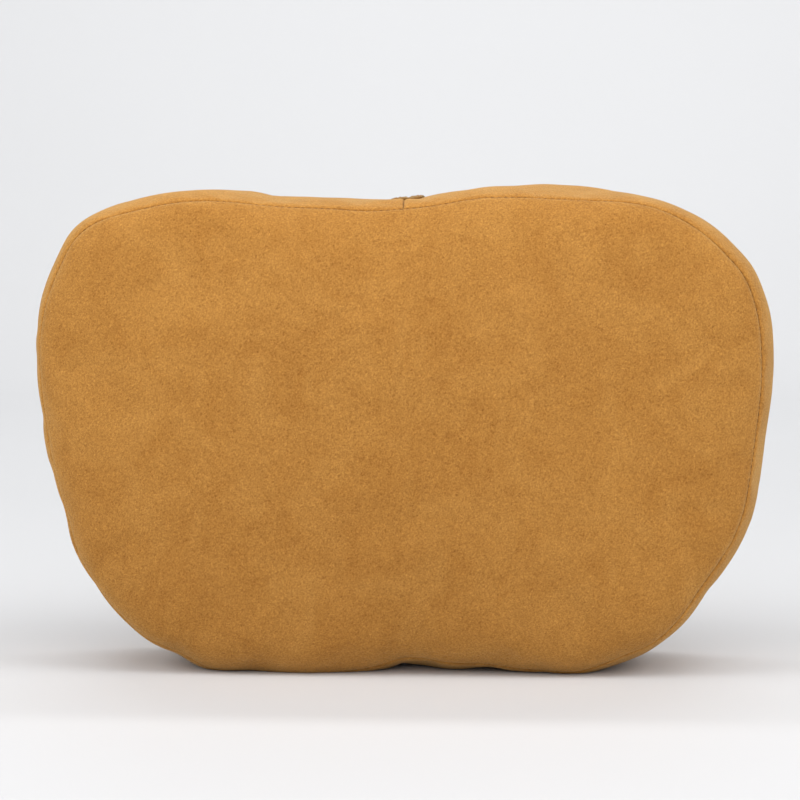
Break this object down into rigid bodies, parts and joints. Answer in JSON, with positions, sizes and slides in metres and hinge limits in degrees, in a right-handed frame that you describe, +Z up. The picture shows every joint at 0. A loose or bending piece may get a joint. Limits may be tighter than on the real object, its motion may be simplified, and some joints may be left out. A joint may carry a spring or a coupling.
{
  "type": "shiatsu neck massager",
  "caption": "Bean-shaped shiatsu massage cushion in a zipped suede cover, with a motor, worm, two worm wheels and two heads of kneading nodes inside.",
  "frame": {"origin": "on the surface that the cushion stands on, below the middle of the cushion", "axes": "+X to the right seen from the massage face, +Y from the massage face to the back, +Z up"},
  "size_m": [0.3298, 0.1024, 0.2185],
  "materials": {
    "suede": "matte",
    "foam": "matte",
    "lining": "matte",
    "webbing": "matte",
    "chassis_plastic": "matte",
    "nylon": "satin",
    "node_plastic": "satin",
    "node_rubber": "matte",
    "steel": "satin",
    "zip_metal": "satin",
    "bronze": "satin",
    "copper": "satin",
    "magnet": "matte",
    "trim_plastic": "satin",
    "button_plastic": "satin",
    "lens": "gloss",
    "board": "satin",
    "red_wire": "satin",
    "black_wire": "satin"
  },
  "bodies": {
    "cushion": {"front_cover": "suede", "side_gusset": "suede", "rear_cover_upper": "suede", "rear_cover_lower": "suede", "gusset_seam_tab": "suede", "rear_strap": "webbing", "zip_chain": "zip_metal", "front_pad": "foam", "foam_ring": "foam", "rear_pad": "foam", "node_liner": "lining", "heating_film": "lining", "rear_housing": "chassis_plastic", "front_plate": "chassis_plastic", "plate_screw_1": "steel", "plate_screw_2": "steel", "plate_screw_3": "steel", "plate_screw_4": "steel", "front_bush_left": "bronze", "front_bush_right": "bronze", "rear_bush_left": "bronze", "rear_bush_right": "bronze", "motor_can": "steel", "motor_end_cap": "nylon", "motor_magnet_left": "magnet", "motor_magnet_right": "magnet", "motor_mount": "steel", "bearing_block": "chassis_plastic", "shaft_bearing": "bronze", "control_pod": "trim_plastic", "control_bezel": "trim_plastic", "led_lens": "lens", "dc_jack": "trim_plastic", "control_board": "board", "motor_lead_red": "red_wire", "motor_lead_black": "black_wire", "heater_lead": "black_wire"},
    "motor_drive": {"motor_shaft": "steel", "motor_rotor": "copper", "worm": "steel"},
    "left_head": {"worm_wheel_left": "nylon", "axle_left": "steel", "carrier_left": "nylon", "carrier_screw_left": "steel", "node_core_left_tall": "node_plastic", "node_core_left_short": "node_plastic", "node_cap_left_tall": "node_rubber", "node_cap_left_short": "node_rubber"},
    "right_head": {"worm_wheel_right": "nylon", "axle_right": "steel", "carrier_right": "nylon", "carrier_screw_right": "steel", "node_core_right_tall": "node_plastic", "node_core_right_short": "node_plastic", "node_cap_right_tall": "node_rubber", "node_cap_right_short": "node_rubber"},
    "power_key": {"power_button": "button_plastic"},
    "heat_key": {"heat_button": "button_plastic"},
    "zip_car": {"zip_slider": "zip_metal"},
    "zip_tag": {"zip_pull": "zip_metal"}
  },
  "joints": [
    {"name": "motor_spin", "type": "hinge", "parent": "cushion", "child": "motor_drive", "pos_m": [0, 0.02, 0.112], "axis": [0, 0, 1], "continuous": true},
    {"name": "left_head_spin", "type": "hinge", "parent": "cushion", "child": "left_head", "pos_m": [-0.056, 0.02, 0.112], "axis": [0, 1, 0], "continuous": true},
    {"name": "right_head_spin", "type": "hinge", "parent": "cushion", "child": "right_head", "pos_m": [0.056, 0.02, 0.112], "axis": [0, 1, 0], "continuous": true},
    {"name": "power_press", "type": "slide", "parent": "cushion", "child": "power_key", "axis": [1, 0, 0], "range_m": [0, 0.0012], "stiffness_N_per_m": 400, "springref_m": -0.002},
    {"name": "heat_press", "type": "slide", "parent": "cushion", "child": "heat_key", "axis": [1, 0, 0], "range_m": [0, 0.0012], "stiffness_N_per_m": 400, "springref_m": -0.002},
    {"name": "zip_slide", "type": "slide", "parent": "cushion", "child": "zip_car", "axis": [1, 0, 0], "range_m": [0, 0.224]},
    {"name": "zip_pull_swing", "type": "hinge", "parent": "zip_car", "child": "zip_tag", "pos_m": [-0.1125, 0.05, 0.044], "axis": [0, 0, 1], "range_deg": [0, 170]}
  ],
  "couplings": [
    {"joint": "left_head_spin", "follows": "motor_spin", "ratio": 0.016667},
    {"joint": "right_head_spin", "follows": "motor_spin", "ratio": -0.016667}
  ]
}
